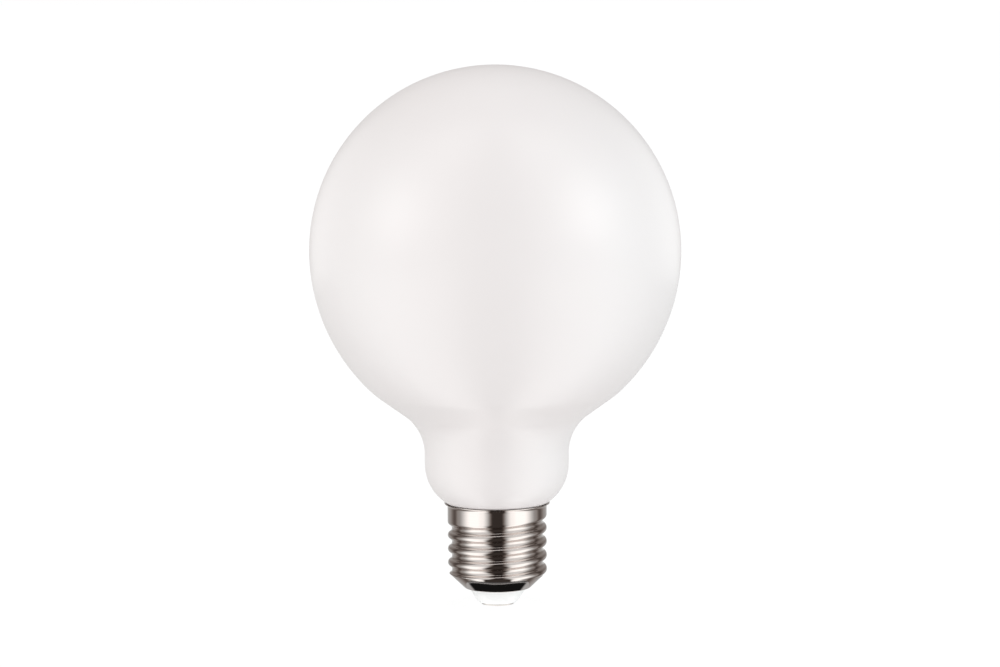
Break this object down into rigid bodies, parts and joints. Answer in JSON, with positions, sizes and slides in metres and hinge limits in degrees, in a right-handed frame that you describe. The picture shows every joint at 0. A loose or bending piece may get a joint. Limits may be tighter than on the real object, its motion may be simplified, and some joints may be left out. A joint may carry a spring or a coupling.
{
  "type": "globe bulb",
  "caption": "Opal globe bulb with a round blown envelope, a short neck and a nickel-plated Edison screw cap with an insulated centre contact.",
  "frame": {"origin": "centre of the flat end of the centre contact, which presses on a lampholder's contact", "axes": "+Z along the bulb's axis from the cap to the top of the globe, +X to the right and +Y to the back as seen in the picture"},
  "size_m": [0.0968, 0.0968, 0.1416],
  "materials": {
    "opal_glass": "milky white, smooth with a soft gloss",
    "nickel_plate": "polished nickel plate on rolled sheet",
    "white_insulator": "smooth white moulding"
  },
  "bodies": {
    "root": {"glass_globe": "opal_glass", "screw_shell": "nickel_plate", "insulator": "white_insulator", "centre_contact": "nickel_plate"}
  },
  "joints": []
}
